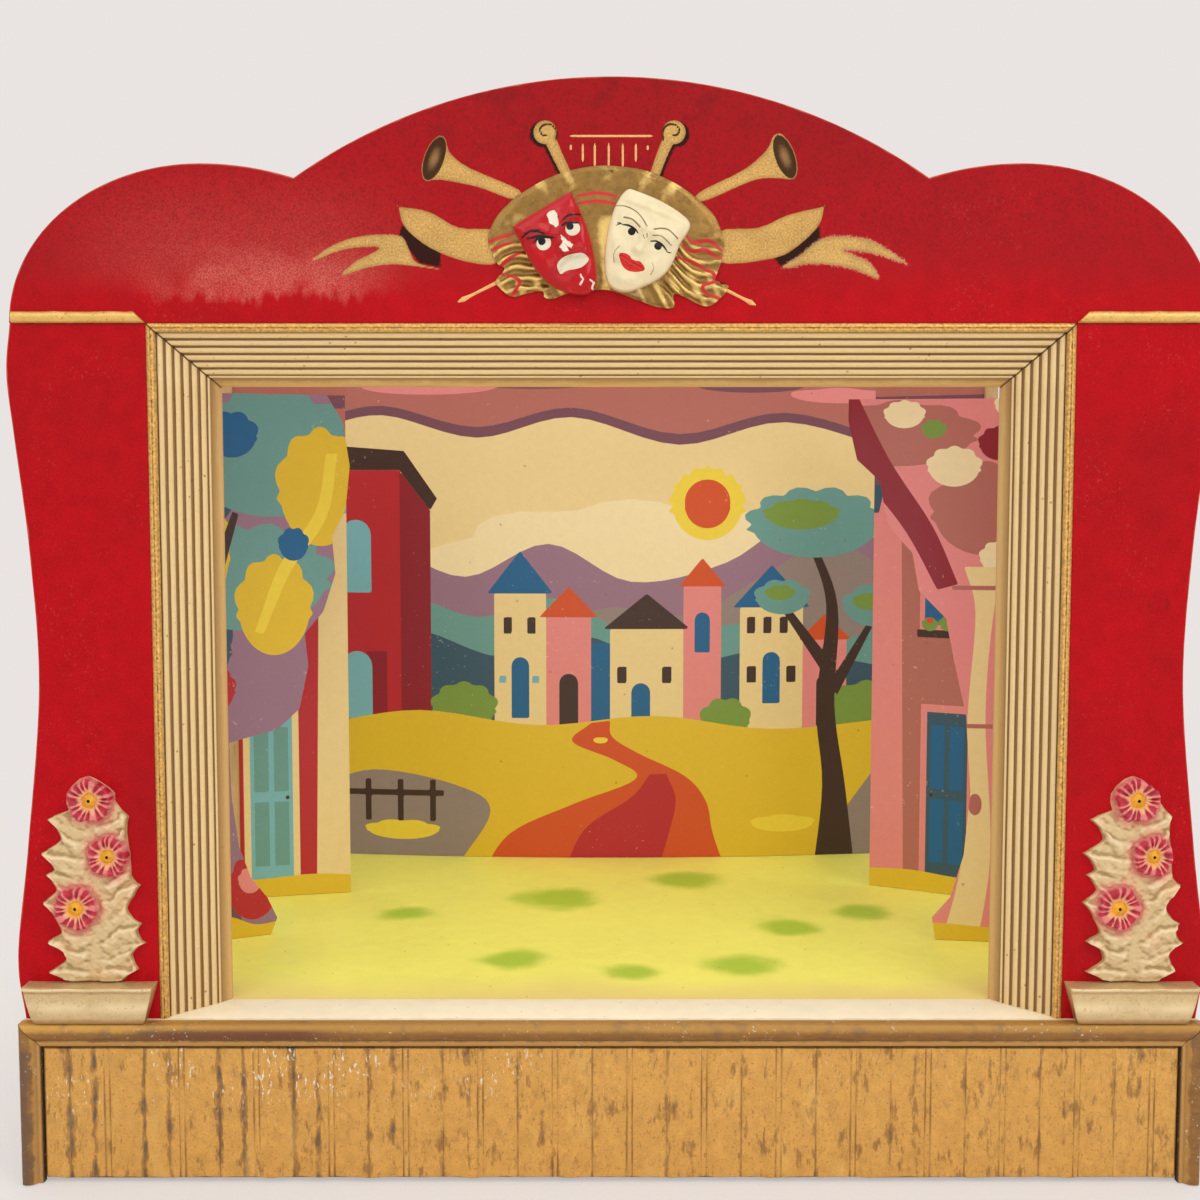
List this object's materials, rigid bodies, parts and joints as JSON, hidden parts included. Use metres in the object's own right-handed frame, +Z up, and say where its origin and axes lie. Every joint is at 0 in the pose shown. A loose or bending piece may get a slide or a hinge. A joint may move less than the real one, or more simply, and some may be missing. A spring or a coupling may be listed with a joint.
{
  "type": "puppet theater stand",
  "caption": "Table-top puppet theater: arched facade with masks, fluted proscenium frame, stage box, turning card wings on slotted posts, bowed backdrop and lift-off header.",
  "frame": {"origin": "centre of the bounding box on the table, under the stage box", "axes": "+X to the viewer's right, +Y from the audience to the backdrop, +Z up"},
  "size_m": [0.709, 0.455, 0.6506],
  "materials": {
    "red_paint": "satin",
    "cream_frame": "satin",
    "aged_gilt": "satin",
    "brown_gilt": "satin",
    "pale_gilt": "satin",
    "painted_plaster": "matte",
    "gilt_plaster": "satin",
    "mask_red": "gloss",
    "mask_ivory": "gloss",
    "floor_paint": "satin",
    "apron_paint": "satin",
    "bare_wood": "matte",
    "plywood": "matte",
    "scenery_card": "matte",
    "screw_steel": "satin"
  },
  "bodies": {
    "stage": {"apron_board": "apron_paint", "stage_floor": "floor_paint", "box_front_board": "plywood", "ribbed_panel": "aged_gilt", "box_top_moulding": "brown_gilt", "box_back_board": "plywood", "corner_moulding_left": "brown_gilt", "corner_moulding_right": "brown_gilt", "box_side_board_left": "plywood", "box_side_board_right": "plywood", "apron_bearer": "bare_wood", "rear_bearer": "bare_wood", "front_post_rail": "bare_wood", "rear_post_rail": "bare_wood", "side_panel_left": "red_paint", "side_panel_right": "red_paint", "side_frame_left": "cream_frame", "side_frame_right": "cream_frame", "planter_left": "pale_gilt", "planter_right": "pale_gilt", "flower_relief_left": "painted_plaster", "flower_relief_right": "painted_plaster", "frame_batten_left": "bare_wood", "frame_batten_right": "bare_wood", "outer_batten_left": "bare_wood", "outer_batten_right": "bare_wood", "tongue_keeper_left": "plywood", "tongue_keeper_right": "plywood", "panel_gusset_left": "plywood", "panel_gusset_right": "plywood", "backdrop_post_left": "bare_wood", "backdrop_post_right": "bare_wood", "front_guide_left": "bare_wood", "front_guide_right": "bare_wood", "rear_guide_left": "bare_wood", "rear_guide_right": "bare_wood", "backdrop_top_rail": "bare_wood", "rail_screw_left_lower": "screw_steel", "rail_screw_left_upper": "screw_steel", "rail_screw_right_lower": "screw_steel", "rail_screw_right_upper": "screw_steel"},
    "header": {"header_board": "red_paint", "top_frame": "cream_frame", "header_batten": "bare_wood", "mask_plaque": "gilt_plaster", "tragedy_mask": "mask_red", "comedy_mask": "mask_ivory", "header_tongue_left": "bare_wood", "header_tongue_right": "bare_wood", "header_strip_left": "aged_gilt", "header_strip_right": "aged_gilt"},
    "front_left_post": {"wing_post_front_left": "bare_wood"},
    "front_right_post": {"wing_post_front_right": "bare_wood"},
    "rear_left_post": {"wing_post_rear_left": "bare_wood"},
    "rear_right_post": {"wing_post_rear_right": "bare_wood"},
    "front_left_card": {"wing_card_front_left": "scenery_card"},
    "front_right_card": {"wing_card_front_right": "scenery_card"},
    "rear_left_card": {"wing_card_rear_left": "scenery_card"},
    "rear_right_card": {"wing_card_rear_right": "scenery_card"},
    "backdrop": {"backdrop": "scenery_card"}
  },
  "joints": [
    {"name": "header_lift", "type": "slide", "parent": "stage", "child": "header", "axis": [0, 0, 1], "range_m": [0, 0.06]},
    {"name": "front_left_swivel", "type": "hinge", "parent": "stage", "child": "front_left_post", "pos_m": [-0.288, -0.0575, 0.098], "axis": [0, 0, 1], "range_deg": [-53.6, 36.4]},
    {"name": "front_right_swivel", "type": "hinge", "parent": "stage", "child": "front_right_post", "pos_m": [0.288, -0.0575, 0.098], "axis": [0, 0, -1], "range_deg": [-37.8, 52.2]},
    {"name": "rear_left_swivel", "type": "hinge", "parent": "stage", "child": "rear_left_post", "pos_m": [-0.288, 0.0585, 0.098], "axis": [0, 0, 1], "range_deg": [-13, 47]},
    {"name": "rear_right_swivel", "type": "hinge", "parent": "stage", "child": "rear_right_post", "pos_m": [0.288, 0.0585, 0.098], "axis": [0, 0, -1], "range_deg": [-28, 32]},
    {"name": "front_left_card_lift", "type": "slide", "parent": "front_left_post", "child": "front_left_card", "axis": [0, 0, 1], "range_m": [0, 0.4]},
    {"name": "front_right_card_lift", "type": "slide", "parent": "front_right_post", "child": "front_right_card", "axis": [0, 0, 1], "range_m": [0, 0.4]},
    {"name": "rear_left_card_lift", "type": "slide", "parent": "rear_left_post", "child": "rear_left_card", "axis": [0, 0, 1], "range_m": [0, 0.4]},
    {"name": "rear_right_card_lift", "type": "slide", "parent": "rear_right_post", "child": "rear_right_card", "axis": [0, 0, 1], "range_m": [0, 0.4]},
    {"name": "backdrop_lift", "type": "slide", "parent": "stage", "child": "backdrop", "axis": [0, 0, 1], "range_m": [0, 0.44]}
  ]
}
